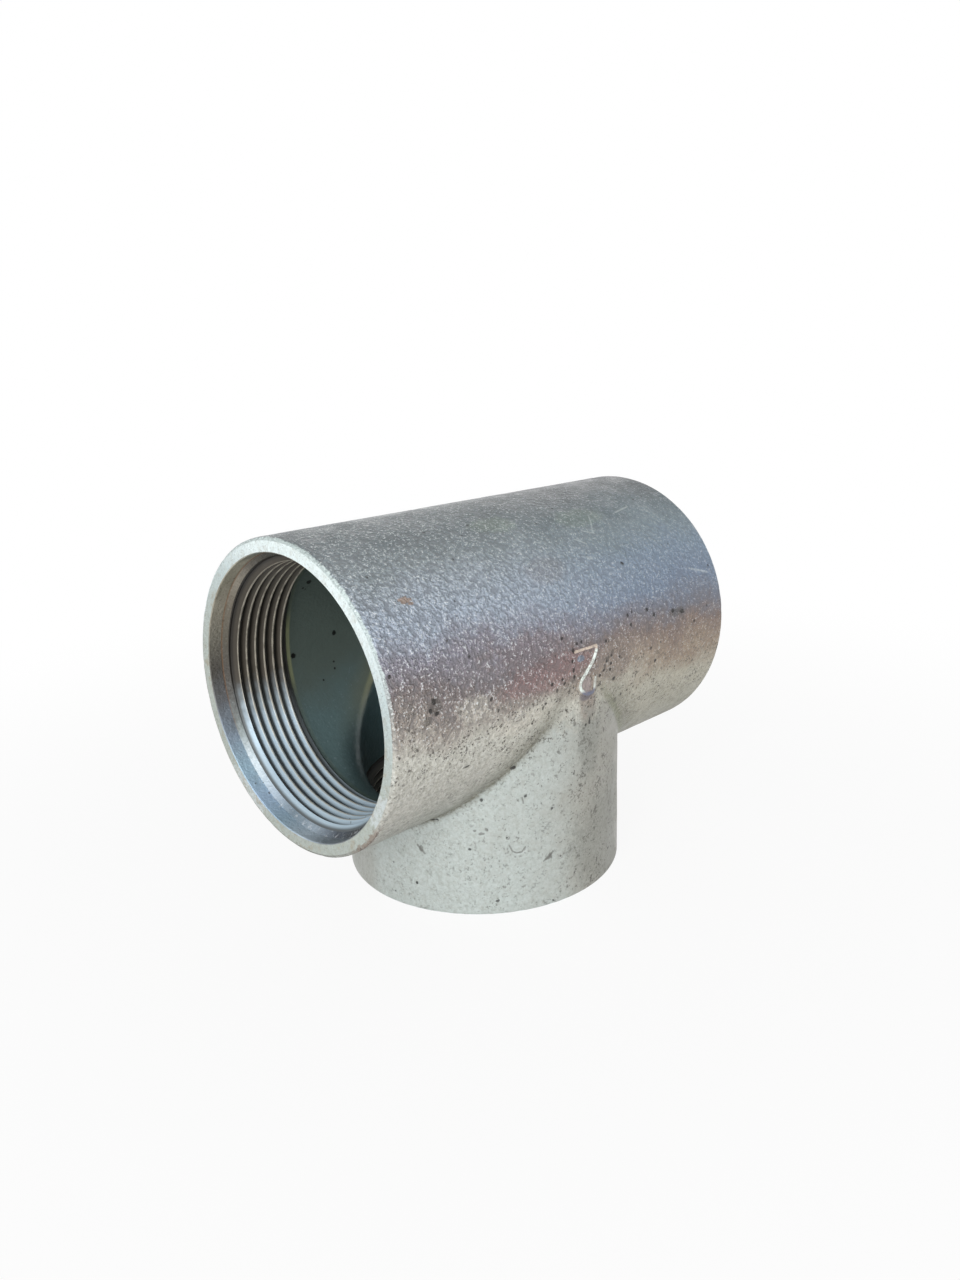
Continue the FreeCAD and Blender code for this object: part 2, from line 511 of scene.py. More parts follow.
def heightRamp(up, stops):
    # Tints by a height or an angle, each stop with its own
    low, high = stops[0][0], stops[-1][0]
    share = timesPlus(up, 1 / (high - low), -low / (high - low))
    made = place("ShaderNodeValToRGB", {}, {0: share})
    bands = made.color_ramp.elements
    while len(bands) < len(stops):
        bands.new(0.5)
    for band, (height, tint) in zip(bands, stops):
        band.position = (height - low) / (high - low)
        band.color = (*seen(*tint), 1.0)
    return made.outputs[0]


def millimetres(tree):
    # Where a point of the piece lies
    return grown(place("ShaderNodeTexCoord", {}, {}, tree).outputs["Object"], 1 / mm)


def cloud(where, grain, detail=2.0, rough=0.5, warp=0.0):
    scale = 1 / grain if isinstance(grain, float) else grain
    inputs = {"Vector": where, "Scale": scale, "Detail": detail, "Roughness": rough, "Distortion": warp}
    return place("ShaderNodeTexNoise", {}, inputs).outputs["Fac"]


def ripple(where, grain, *shape):
    # A cloud about zero
    return minus(cloud(where, grain, *shape), 0.5)


def newMaterial(name):
    material = bpy.data.materials.new(name)
    material.use_nodes = True
    material.node_tree.nodes.clear()
    return material, material.node_tree


def newGroup(name, inputs, outputs):
    # A shader node group. Each input is a name and its first value, a number or a vector.
    tree = bpy.data.node_groups.new(name, "ShaderNodeTree")
    for label, value in inputs.items():
        kind = "NodeSocketFloat" if isinstance(value, float) else "NodeSocketVector"
        socket = tree.interface.new_socket(name=label, in_out="INPUT", socket_type=kind)
        socket.default_value = value
    for label in outputs:
        tree.interface.new_socket(name=label, in_out="OUTPUT", socket_type="NodeSocketFloat")
    entry = tree.nodes.new("NodeGroupInput").outputs
    leave = tree.nodes.new("NodeGroupOutput").inputs
    return tree, entry, leave


def use(group, inputs):
    return place("ShaderNodeGroup", {"node_tree": group}, inputs).outputs


# Effects that several of the finishes share

origin = (0.0, 0.0, 0.0)
evenly = (1.0, 1.0, 1.0)  # a spot that isn't stretched


def makePebbles():
    # The leathery skin of cast iron under zinc: low domes with valleys between them
    tree, entry, leave = newGroup("pebbles", {"Where": origin, "Size": 1.0}, ["Height"])
    where = entry["Where"]
    scale = work("DIVIDE", 1.0, entry["Size"])
    stirred = place(
        "ShaderNodeTexNoise", {}, {"Vector": where, "Scale": times(scale, 0.9), "Detail": 2.0})
    off = vectorWork("SUBTRACT", stirred.outputs["Color"], (0.5, 0.5, 0.5))
    off = grown(off, entry["Size"])
    moved = vectorWork("MULTIPLY_ADD", off, (1.6, 1.6, 1.6), where)
    domes = place(
        "ShaderNodeTexVoronoi", {"feature": "SMOOTH_F1"},
        {"Vector": moved, "Scale": scale, "Smoothness": 0.35})
    lumps = cloud(where, times(scale, 1.7), 2.0, 0.6)
    both = timesPlus(domes.outputs["Distance"], -0.9, lumps)
    feed(leave["Height"], between(both, -0.35, 0.45))
    return tree


def makePits():
    # Scattered dark pits: one may sit in each cell, and the share says how many cells have one
    tree, entry, leave = newGroup("pits", {"Where": origin, "Size": 2.0, "Share": 0.2}, ["Mask"])
    where = entry["Where"]
    scale = work("DIVIDE", 1.0, entry["Size"])
    found = place("ShaderNodeTexVoronoi", {}, {"Vector": where, "Scale": scale}).outputs
    lot = place("ShaderNodeSeparateColor", {}, {0: found["Color"]}).outputs
    reach = timesPlus(lot[1], 0.16, 0.08)
    stir = ripple(where, times(scale, 3.0), 1.0)
    gap = timesPlus(stir, 0.30, found["Distance"])
    inside = between(gap, reach, times(reach, 0.45))
    chosen = work("LESS_THAN", lot[0], entry["Share"])
    feed(leave["Mask"], times(inside, chosen))
    return tree


def makeMark():
    # One ragged spot on the casting, at a place of its own
    inputs = {"Where": origin, "Centre": origin, "Stretch": evenly, "Reach": 1.0, "Ragged": 0.0}
    tree, entry, leave = newGroup("mark", inputs, ["Mask"])
    off = vectorWork("SUBTRACT", entry["Where"], entry["Centre"])
    gap = vectorWork("LENGTH", vectorWork("DIVIDE", off, entry["Stretch"]))
    share = work("ADD", work("DIVIDE", gap, entry["Reach"]), entry["Ragged"])
    feed(leave["Mask"], between(share, 1.0, 0.6))
    return tree


def makeScratch():
    # A thin straight scratch between two places
    inputs = {"Where": origin, "Start": origin, "End": (1.0, 0.0, 0.0), "Width": 0.2}
    tree, entry, leave = newGroup("scratch", inputs, ["Mask"])
    off = vectorWork("SUBTRACT", entry["Where"], entry["Start"])
    run = vectorWork("SUBTRACT", entry["End"], entry["Start"])
    along = vectorWork("DOT_PRODUCT", off, run)
    whole = vectorWork("DOT_PRODUCT", run, run)
    share = larger(work("DIVIDE", along, whole), 0.0)
    nearest = grown(run, work("MINIMUM", share, 1.0))
    wide = work("DIVIDE", vectorWork("DISTANCE", off, nearest), entry["Width"])
    feed(leave["Mask"], between(wide, 1.0, 0.5))
    return tree


pebbles = makePebbles()
pits = makePits()
mark = makeMark()
scratch = makeScratch()


# Finishes

skinFinish = {
    # Painted reflection bands up the side of the run, by the angle above its axis, at its near and far
    # end: painted shade on the top, bluish and pinkish painted reflections on the side, and a pale
    # painted reflection of the floor low down
    "nearReflectionBands": [
        (-90, (120, 122, 112)), (-62, (146, 147, 138)), (-38, (191, 189, 181)), (-14, (204, 203, 194)),
        (-4, (166, 156, 147)), (6, (127, 116, 115)), (17, (141, 138, 150)), (28, (168, 180, 196)),
        (40, (162, 173, 184)), (52, (142, 153, 158)), (66, (108, 120, 124)), (90, (84, 95, 97)),
    ],
    "farReflectionBands": [
        (-90, (110, 110, 96)), (-55, (132, 130, 112)), (-35, (154, 152, 136)), (-15, (178, 174, 159)),
        (-4, (152, 135, 116)), (6, (124, 107, 98)), (14, (110, 110, 119)), (25, (116, 131, 152)),
        (38, (125, 142, 160)), (52, (126, 141, 149)), (64, (100, 114, 120)), (78, (74, 84, 88)),
        (90, (54, 62, 66)),
    ],
    "branchLight": (186, 194, 191),
    "branchDullAndShade": (160, 159, 151),
    "creaseShade": (132, 131, 118),
    "creaseOlive": (126, 130, 102),
    "pinkReflectionPatch": (140, 108, 108),
    "greenStain": (128, 146, 128),
    "brownStain": (136, 122, 112),
    "plumStain": (122, 104, 104),
    "paleReflectionPatch": (208, 204, 193),
    "blueStain": (118, 142, 164),
    "greyStain": (134, 136, 129),
    "sandGrain": (176, 172, 158),
    "scratch": (92, 90, 86),
    "scratchPale": (214, 222, 222),
    "darkGrain": (70, 66, 60),
    "hollowShade": (94, 96, 99),
    "paintedGlint": (226, 230, 232),
    "pitColour": (26, 24, 21),
    "rust": (146, 116, 88),
    "edgeBright": (216, 230, 228),
    "pebbleSize": 1.0,
    "pebbleDepth": 0.42,
    "pitSize": 2.0,
    "gloss": (0.34, 0.48),
    "shine": {"Metallic": 0.15, "Specular IOR Level": 0.4},
    # How strongly each kind of mark covers what is under it
    "strength": {"rust": 0.7, "darkGrain": 0.55, "pitColour": 0.85, "scratch": 0.6, "scratchPale": 0.32},
    # Stains on the run: tint, along it, degrees above its axis, reach, strength, stretch. The pink and
    # pale patches are painted reflection that deepens the bands.
    "stains": [
        ("pinkReflectionPatch", -13.5, 3.5, 14.0, 0.66, (1.3, 1.0, 0.34)),
        ("greenStain", -8.0, 66.0, 6.0, 0.4, (1.3, 0.8, 0.4)),
        ("greenStain", 18.0, 60.0, 7.0, 0.3, (1.5, 0.8, 0.4)),
        ("plumStain", -17.0, 12.0, 10.0, 0.5, (1.4, 1.0, 0.6)),
        ("brownStain", -3.0, 40.0, 5.0, 0.2, (1.4, 0.6, 1.0)),
        ("brownStain", 10.5, -0.5, 5.0, 0.7, (1.2, 1.0, 1.0)),
        ("brownStain", 1.0, -14.0, 5.5, 0.75, (0.6, 1.0, 1.3)),
        ("paleReflectionPatch", -34.5, 0.5, 5.0, 0.5, (1.3, 1.0, 0.7)),
        ("paleReflectionPatch", -20.0, -10.5, 6.5, 0.7, (1.7, 1.0, 0.6)),
        ("blueStain", -1.7, 4.7, 1.3, 0.7, (1.0, 1.0, 0.7)),
    ],
    # Grey stains on the branch: degrees round it from the front, height, reach, stretch
    "branchStains": [(12.0, 12.0, 17.0, (0.8, 1.0, 1.1)), (3.0, 37.0, 9.0, (0.5, 1.0, 1.2))],
    # Spots on the run: along it, degrees above its axis, reach, and the stretch if it has one
    "runSpots": {
        "rust": [(-43.3, 42.1, 1.5, (1.3, 1.0, 0.5)), (-42.4, 40.6, 0.8, (1.0, 1.0, 0.5))],
        "darkGrain": [
            (-44.5, 6.5, 2.2, (1.0, 1.0, 0.9)), (-47.0, 2.5, 1.3),
            (35.4, 9.7, 2.6, (1.6, 1.0, 0.5)), (12.6, -18.7, 0.8),
            (7.6, 1.0, 0.7, (1.0, 1.0, 1.4)), (9.6, 3.4, 0.6, (1.0, 1.0, 1.2)), (6.6, -1.4, 0.6),
        ],
        "pitColour": [
            (-2.3, 10.8, 0.42), (-0.7, 10.8, 0.40),
            (-3.9, 8.8, 0.55, (0.7, 1.0, 1.4)), (-4.4, 5.0, 0.50, (0.8, 1.0, 1.2)),
            (-4.1, 1.4, 0.50, (0.9, 1.0, 1.2)), (-3.9, -1.2, 0.48),
            (-6.8, 14.3, 0.45), (-7.2, -2.3, 0.5),
            (-7.9, -0.5, 0.4), (-11.2, -0.9, 0.5),
            (7.5, 8.1, 0.45), (9.1, 1.9, 0.45),
            (8.9, -1.2, 0.45), (7.2, 0.3, 0.4),
            (6.4, -3.0, 0.45), (8.6, -3.6, 0.45),
            (10.3, -8.1, 0.6, (1.0, 1.0, 0.9)), (5.0, -4.5, 0.45),
            (3.3, 2.3, 0.4), (26.2, -7.4, 0.6),
            (23.7, 14.5, 0.55), (26.1, 11.8, 0.6),
            (16.4, 14.8, 0.5), (17.0, 10.9, 0.5),
            (20.7, 34.9, 0.55), (33.6, 10.8, 0.8, (1.0, 1.0, 0.7)),
            (37.2, 9.4, 0.8, (1.3, 1.0, 0.7)), (-44.6, 8.0, 0.7),
            (-45.8, 5.4, 0.6), (-44.2, 3.8, 0.5),
            (-35.0, -21.0, 0.6, (1.8, 1.0, 0.5)), (-53.6, 20.0, 0.5),
        ],
    },
    # Spots on the branch: degrees round it from the front, height, reach, and the stretch
    "branchSpots": {
        "darkGrain": [
            (-19.0, 12.3, 0.9, (1.4, 1.0, 0.6)), (-18.0, 13.0, 0.6, (1.0, 1.0, 0.8)),
            (-47.5, 21.2, 0.6, (1.0, 1.0, 0.7)), (-45.0, 20.4, 0.8, (1.3, 1.3, 0.5)),
            (-43.0, 21.4, 0.5), (-68.7, 15.7, 0.7, (0.8, 1.0, 1.5)),
            (-0.6, 32.3, 0.55), (-0.6, 29.4, 0.55),
            (9.9, 24.8, 0.5), (-14.0, 37.3, 0.5),
            (-5.8, 42.7, 0.6),
        ],
        "pitColour": [
            (-32.6, 35.8, 0.7, (1.1, 1.1, 0.7)), (-62.7, 23.8, 0.85, (1.3, 1.5, 0.5)),
            (-61.9, 24.2, 0.35, (1.0, 1.0, 1.3)), (2.4, 42.1, 0.6, (0.7, 1.0, 1.5)),
            (0.1, 41.6, 0.4), (-71.4, 6.8, 0.4),
        ],
    },
    # Scratches: the places along each, as for the spots, and its width
    "runScratches": {
        "scratch": [([(1.6, 87.0), (5.8, 82.5)], 0.6)],
        "scratchPale": [
            ([(10.9, 49.6), (13.3, 46.6)], 0.34), ([(15.1, 52.9), (18.3, 50.4)], 0.34),
            ([(21.5, 59.1), (20.2, 55.6), (18.1, 51.3)], 0.3), ([(44.1, 25.3), (50.8, 21.7)], 0.36),
            ([(31.2, 58.4), (37.2, 60.3)], 0.34), ([(10.8, 40.5), (12.0, 40.2)], 0.6),
        ],
    },
    "branchScratches": {
        "scratch": [
            ([(-34.6, 17.0), (-33.5, 15.6), (-31.9, 15.0), (-29.9, 15.1), (-28.5, 16.2)], 0.28),
            ([(-29.3, 28.3), (-28.8, 26.9)], 0.3), ([(-70.2, 16.5), (-67.4, 14.7)], 0.4),
            ([(-21.0, 11.7), (-18.6, 12.5), (-17.0, 13.6)], 0.3),
        ],
        "scratchPale": [([(-33.0, 14.9), (-30.2, 14.6), (-28.4, 15.3)], 0.2)],
    },
}

numeralFinish = {
    # The stroke colour is a painted highlight on the raised metal
    "stroke": (238, 248, 242),
    "bar": (216, 200, 184),
    "shadedBowlFoot": (112, 116, 134),
    "bowlInside": (168, 156, 156),
    "bowlShade": (82, 80, 92),
    "hook": (176, 176, 170),
    "standsFrom": (0.14, 0.30),  # the painted highlight starts where the metal stands out this far
    "window": (13.0, 5.0),  # half of the patch it lies in: degrees up and down, and along the run
    # Where these lie: along the run, degrees above its axis, reach, stretch
    "spots": [
        ("hook", 3.0, -5.4, 2.4, (0.5, 1.0, 1.0)),
        ("bowlShade", 0.2, -10.4, 2.3, (1.2, 1.0, 0.6)),
        ("bowlInside", 0.3, -6.2, 2.2, (1.0, 1.0, 1.2)),
    ],
}

faceFinish = {
    # Painted light across the face: shaded on its low far side, lit on its high near side
    "paintedLightTints": [
        (-1.0, (172, 180, 174)), (-0.3, (178, 186, 180)), (0.15, (180, 190, 187)), (0.5, (196, 210, 211)),
        (0.8, (230, 242, 243)), (1.0, (234, 246, 246)),
    ],
    "paintedLightLean": (0.94, -0.342),  # how much of the height and of Y the painted light follows
    # Paler stretches of the near face: distance to the far side, height from the axis, reach
    "paleStretches": [(19.5, -26.0, 8.0), (-28.5, -16.5, 5.0)],
    "pale": (206, 214, 216),
    "dull": (160, 166, 154),
    "warm": (158, 148, 126),
    "speck": (84, 82, 72),
    "rust": (122, 100, 84),
    "crack": (70, 52, 42),
    "dots": (1.3, 0.36),  # size, and the share of places that have one
    "shine": {"Metallic": 0.1, "Roughness": 0.45},
}

recessFinish = {
    # Painted light and shade round the wall of a mouth and round its lead, by the angle from the far
    # side: lit low down, shaded higher up, with painted highlights on the lead
    "wallLitAndShaded": [
        (-180, (120, 118, 112)), (-120, (134, 140, 144)), (-105, (136, 146, 154)), (-90, (196, 212, 224)),
        (-75, (162, 188, 206)), (-60, (182, 208, 234)), (-45, (178, 208, 226)), (-30, (158, 174, 190)),
        (-15, (120, 122, 126)), (0, (97, 94, 88)), (15, (138, 134, 122)), (30, (168, 162, 147)),
        (45, (158, 153, 136)), (60, (182, 178, 160)), (75, (134, 138, 131)), (110, (120, 116, 104)),
        (180, (120, 118, 112)),
    ],
    "leadLitAndShaded": [
        (-180, (84, 84, 80)), (-120, (60, 62, 62)), (-105, (76, 84, 94)), (-90, (154, 168, 180)),
        (-75, (120, 136, 148)), (-60, (186, 202, 216)), (-45, (216, 230, 238)), (-30, (138, 148, 148)),
        (-15, (78, 78, 75)), (0, (74, 70, 64)), (15, (92, 88, 78)), (30, (110, 104, 92)),
        (45, (136, 130, 118)), (60, (94, 90, 82)), (75, (64, 64, 58)), (110, (70, 68, 62)),
        (180, (84, 84, 80)),
    ],
    "grime": (78, 68, 54),
    "whitePatch": (236, 242, 246),
    "cornerLine": (112, 80, 50),
    "dots": (1.8, 0.3),
    "shine": {"Metallic": 0.1, "Roughness": 0.46, "Specular IOR Level": 0.35},
}

threadFinish = {
    # Painted light: the upper flanks are painted shaded and the lower ones lit, the roots painted darker
    # as shade in the grooves, and the pale crests a painted highlight
    "crest": (190, 184, 168),
    "shadedUpperFlank": (66, 61, 53),
    "litLowerFlank": (180, 200, 213),
    "upperRootShade": (40, 37, 32),
    "lowerRootShade": (92, 98, 100),
    "grime": (44, 42, 38),
    "dots": (2.2, 0.12),
    "gloss": (0.32, 0.46),
    "shine": {"Metallic": 0.2, "Specular IOR Level": 0.35},
}

chamberFinish = {
    # The wall colours are painted dark as shade inside the chamber, and paler low down where light falls
    # in
    "wall": (93, 105, 99),
    "litLowWall": (106, 130, 132),
    "paleSpray": (150, 170, 178),
    "yellowHighlight": (158, 162, 124),
    "litCrotchBand": (116, 118, 98),
    "branchWall": (88, 112, 116),
    "shadedLowCrotch": (48, 64, 66),
    "dot": (12, 13, 11),
    "gloss": (0.28, 0.42),
    "shine": {"Metallic": 0.15},
    # Spots on the far wall: place, reach
    "spots": [
        ((-30.8, 24.2, 72.0), 0.8), ((-20.8, 29.8, 56.3), 0.8), ((-33.4, 29.8, 53.3), 0.8),
        ((-21.9, 29.3, 49.2), 0.35), ((-32.0, 25.2, 70.6), 0.35), ((-31.2, 25.6, 70.2), 0.35),
        ((-22.0, 29.0, 47.5), 0.35), ((-26.0, 28.4, 45.5), 0.35),
    ],
}


def parts(where):
    return place("ShaderNodeSeparateXYZ", {}, {0: where}).outputs


def degreesRound(up, across):
    return times(work("ARCTAN2", up, across), 180 / math.pi)


def runPlace(along, degrees):
    # A point on the outside of the run, at an angle above its axis on the front
    angle = math.radians(degrees)
    return along, -runRadius * math.cos(angle), branchReach + runRadius * math.sin(angle)


def branchPlace(degrees, height):
    angle = math.radians(degrees)
    radius = runRadius - casting["branchInset"]
    return radius * math.sin(angle), -radius * math.cos(angle), height


def seated(placeOn, rows):
    # Spots with the two numbers of their place turned into the point itself
    return [(placeOn(*row[:2]), row[2], row[3] if len(row) > 3 else evenly) for row in rows]


def laid(placeOn, rows):
    return [([placeOn(*point) for point in points], width) for points, width in rows]


def spotted(where, ragged, spots):
    # One mask for a list of spots: place, reach and stretch
    mask = None
    for centre, reach, stretch in spots:
        inputs = {"Where": where, "Centre": centre, "Reach": reach, "Stretch": stretch, "Ragged": ragged}
        one = use(mark, inputs)["Mask"]
        mask = larger(mask, one) if mask else one
    return mask


def scratched(where, lines):
    # One mask for a list of scratches: the places along it, and its width
    mask = None
    for places, width in lines:
        for start, end in zip(places, places[1:]):
            one = use(scratch, {"Where": where, "Start": start, "End": end, "Width": width})["Mask"]
            mask = larger(mask, one) if mask else one
    return mask


def dotted(where, grain, share):
    return use(pits, {"Where": where, "Size": grain, "Share": share})["Mask"]


def pebbled(where, grain, depth):
    # Which way a surface with fine pebbles faces
    height = use(pebbles, {"Where": where, "Size": grain})["Height"]
    return place("ShaderNodeBump", {}, {"Distance": depth * mm, "Height": height}).outputs[0]


def runColour(site, look):
    # Painted reflection bands along the run, wandering a little, and its stains
    wandering = timesPlus(site["x"], 0.08, site["angle"])
    wandering = timesPlus(site["drift"], 26.0, wandering)
    wandering = timesPlus(site["fray"], 14.0, wandering)
    near = heightRamp(wandering, look["nearReflectionBands"])
    far = heightRamp(wandering, look["farReflectionBands"])
    toFar = between(timesPlus(site["drift"], 40.0, site["x"]), -32.0, 38.0)
    colour = mixed(toFar, near, far)
    for name, along, degrees, reach, strength, stretch in look["stains"]:
        spot = (runPlace(along, degrees), reach, stretch)
        mask = spotted(site["where"], site["broad"], [spot])
        colour = layer(colour, look[name], mask, strength)
    return colour, wandering


def branchColour(site, look):
    where, y, fray = site["where"], site["y"], site["fray"]
    # Darker towards the right front, and a painted shadow of the run down the branch's left side
    dullAndShadow = timesPlus(fray, 12.0, timesPlus(site["drift"], 24.0, site["x"]))
    dullAndShadow = between(dullAndShadow, -23.0, 6.0)
    dullAndShadow = times(dullAndShadow, between(y, 12.0, -6.0, 0.4, 1.0))
    shadowed = between(timesPlus(fray, 3.0, y), -0.5, 4.5, 0.0, 0.6)
    dullAndShadow = larger(dullAndShadow, shadowed)
    colour = mixed(dullAndShadow, seen(*look["branchLight"]), seen(*look["branchDullAndShade"]))
    mottle = between(cloud(where, 1.3, 4.0, 0.75), 0.46, 0.66)
    colour = layer(colour, look["branchDullAndShade"], mottle, 0.3)
    stained = spotted(where, site["broad"], seated(branchPlace, look["branchStains"]))
    return layer(colour, look["greyStain"], stained, 0.55)


def withBranch(site, look, colour):
    # The branch, paler, below the crossing of the barrels, with painted shade along its crease
    up, beside, fray = site["up"], site["beside"], site["fray"]
    below = minus(times(up, -1.0), beside)
    shade = between(below, -11.0, 0.0, 0.0, 0.75)
    shade = larger(shade, between(below, -3.0, -0.6, 0.0, 0.95))
    shade = times(shade, between(beside, 3.0, 14.0))
    colour = layer(colour, look["creaseShade"], shade)
    onBranch = between(timesPlus(fray, 5.0, below), -1.2, 2.4)
    onBranch = times(onBranch, between(timesPlus(fray, 14.0, up), -6.0, -15.0))
    colour = mixed(onBranch, colour, branchColour(site, look))
    crease = times(between(below, -2.6, -0.6), between(below, 2.0, 0.2))
    olive = times(crease, between(site["x"], 2.0, 12.0))
    return layer(colour, look["creaseOlive"], olive, 0.5), onBranch


def grained(site, look, colour, wandering, onBranch):
    # Painted shade in the hollows of the pebbles and painted glints on their tops, darker flecks where
    # the tints meet, and pits
    where = site["where"]
    grain = use(pebbles, {"Where": where, "Size": look["pebbleSize"]})["Height"]
    coarse = between(site["x"], halfRun, -halfRun, 0.45, 1.0)
    coarse = times(coarse, between(onBranch, 0.0, 1.0, 1.0, 0.4))
    onPale = between(wandering, 0.0, -14.0)
    leathery = times(coarse, between(onPale, 0.0, 1.0, 1.0, 0.35))
    sandy = between(cloud(where, 0.8, 4.0, 0.8), 0.56, 0.38)
    pale = mixedValue(onBranch, times(onPale, 0.5), 0.24)
    colour = layer(colour, look["sandGrain"], sandy, pale, "MULTIPLY")
    hollows = timesPlus(ripple(where, 0.6, 2.0, 0.6), 1.3, grain)
    hollows = between(hollows, 0.65, 0.0)
    colour = layer(colour, look["hollowShade"], hollows, times(leathery, 0.55))
    glints = between(cloud(where, 0.34, 1.0), 0.50, 0.66)
    tops = times(between(grain, 0.4, 0.8), times(leathery, 0.8))
    colour = layer(colour, look["paintedGlint"], tops, glints)

    nearBorder = between(unsigned(work("ADD", wandering, 8.0)), 26.0, 4.0)
    patchy = between(cloud(where, 9.0, 3.0, 0.6), 0.38, 0.66)
    clumps = times(ripple(where, 2.2, 3.0, 0.6), 0.55)
    flecks = work("ADD", clumps, cloud(where, 0.6, 3.0, 0.7))
    share = timesPlus(patchy, 0.25, timesPlus(nearBorder, 0.5, 0.04))
    share = timesPlus(onPale, 0.34, share)
    speckled = between(timesPlus(site["drift"], 40.0, site["x"]), -24.0, 4.0, 0.9, 1.6)
    speckled = times(speckled, between(site["y"], -8.0, 8.0, 0.85, 0.5))
    share = times(share, mixedValue(onBranch, 1.0, speckled))
    colour = layer(colour, look["darkGrain"], between(flecks, 0.56, 0.66), share)
    share = timesPlus(patchy, 0.16, timesPlus(nearBorder, 0.22, 0.03))
    pitted = dotted(where, look["pitSize"], share)
    colour = layer(colour, look["pitColour"], pitted, 0.75)
    return colour, times(grain, leathery), times(pitted, 0.8)


def marked(site, look, colour, dents):
    # The spots and scratches that have a place of their own. The dark pits are dents too.
    where = site["where"]
    ragged = times(ripple(where, 0.7, 2.0, 0.6), 1.3)
    for name in ("rust", "darkGrain", "pitColour"):
        spots = seated(runPlace, look["runSpots"].get(name, []))
        spots += seated(branchPlace, look["branchSpots"].get(name, []))
        mask = spotted(where, ragged, spots)
        colour = layer(colour, look[name], mask, look["strength"][name])
        if name == "pitColour":
            dents = larger(dents, mask)
    broken = between(cloud(where, 0.8, 2.0, 0.7), 0.36, 0.52, 0.7, 1.0)
    for name in ("scratch", "scratchPale"):
        lines = laid(runPlace, look["runScratches"][name])
        lines += laid(branchPlace, look["branchScratches"][name])
        mask = times(scratched(where, lines), broken)
        colour = layer(colour, look[name], mask, look["strength"][name])
    return colour, dents


def numbered(site, look, colour):
    # The numeral, a painted highlight where it stands out from the barrels, patchy, with painted shade on
    # the foot of its bowl
    where, x, y, up, angle = (site[name] for name in ("where", "x", "y", "up", "angle"))
    ySquare = times(y, y)
    upper = larger(up, 0.0)
    toRun = longSide(up, ySquare)
    toBranch = longSide(upper, timesPlus(x, x, ySquare))
    stand = minus(toBranch, runRadius - casting["branchInset"])
    stand = work("MINIMUM", minus(toRun, runRadius), stand)
    halfHeight, halfWidth = look["window"]
    window = work("LESS_THAN", unsigned(angle), halfHeight)
    window = times(window, work("LESS_THAN", site["beside"], halfWidth))
    window = times(window, work("LESS_THAN", y, 0.0))
    raised = times(between(stand, *look["standsFrom"]), window)
    worn = between(cloud(where, 0.9, 3.0, 0.7), 0.34, 0.6, 0.4, 1.0)
    raised = times(raised, worn)
    onBar = between(angle, 6.2, 7.2)
    stroke = mixed(onBar, seen(*look["stroke"]), seen(*look["bar"]))
    stroke = layer(stroke, look["shadedBowlFoot"], between(angle, -7.4, -8.8))
    # The hook lies on the stroke itself, and the others on the metal round it; the bowl shade is a
    # painted shadow below the bowl
    for name, along, degrees, reach, stretch in look["spots"]:
        mask = spotted(where, 0.0, [(runPlace(along, degrees), reach, stretch)])
        if name == "hook":
            stroke = layer(stroke, look[name], mask, 0.7)
        else:
            colour = layer(colour, look[name], mask, 0.6)
    return mixed(raised, colour, stroke), raised


def paintSkin(where, look):
    x, y, z = parts(where)
    up = minus(z, branchReach)
    drift = ripple(where, 16.0, 3.0, 0.55, 0.4)
    fray = ripple(where, 1.6, 3.0, 0.7)
    site = {
        "where": where, "x": x, "y": y, "up": up, "drift": drift, "fray": fray,
        "beside": unsigned(x),
        "angle": degreesRound(up, unsigned(y)),
        "broad": timesPlus(drift, 1.2, times(fray, 0.8)),
    }
    colour, wandering = runColour(site, look)
    colour, onBranch = withBranch(site, look, colour)
    colour, leather, dents = grained(site, look, colour, wandering, onBranch)
    colour, dents = marked(site, look, colour, dents)
    colour, raised = numbered(site, numeralFinish, colour)

    # Paler outer edges of the ends, more so higher up, and a paler foot of the branch
    worn = between(timesPlus(fray, 1.2, site["beside"]), halfRun - 0.6, halfRun - 0.3)
    worn = times(worn, between(up, -2.0, 18.0, 0.1, 1.0))
    foot = between(timesPlus(fray, 1.2, z), 0.4, 0.15)
    colour = layer(colour, look["edgeBright"], larger(worn, foot), 0.8)
    colour = rusted(where, fray, colour)

    smoother = between(raised, 0.0, 1.0, 1.0, 0.2)
    height = times(minus(leather, dents), smoother)
    bump = place("ShaderNodeBump", {}, {"Distance": look["pebbleDepth"] * mm, "Height": height})
    gloss = between(cloud(where, 5.0, 2.0, 0.6), 0.3, 0.7, *look["gloss"])
    return {"Base Color": colour, "Roughness": gloss, "Normal": bump.outputs[0]}


def rusted(where, fray, colour):
    # Rust and a dark crack low on the outer edge of the near end
    look = faceFinish
    x, y, z = parts(where)
    up = minus(z, branchReach)
    out = longSide(up, times(y, y))
    atEnd = between(timesPlus(fray, 4.0, x), 1.6 - halfRun, 0.6 - halfRun)
    atEdge = between(timesPlus(fray, 4.0, out), runRadius - 1.1, runRadius - 0.5)
    angle = degreesRound(up, times(y, -1.0))
    there = between(unsigned(work("ADD", angle, 47.0)), 13.0, 6.0)
    rusty = times(times(atEnd, atEdge), there)
    colour = layer(colour, look["rust"], rusty, 0.6)
    line = timesPlus(fray, 2.4, work("ADD", x, halfRun - 0.7))
    crack = times(there, between(unsigned(line), 0.26, 0.08))
    return layer(colour, look["crack"], crack, 0.85)


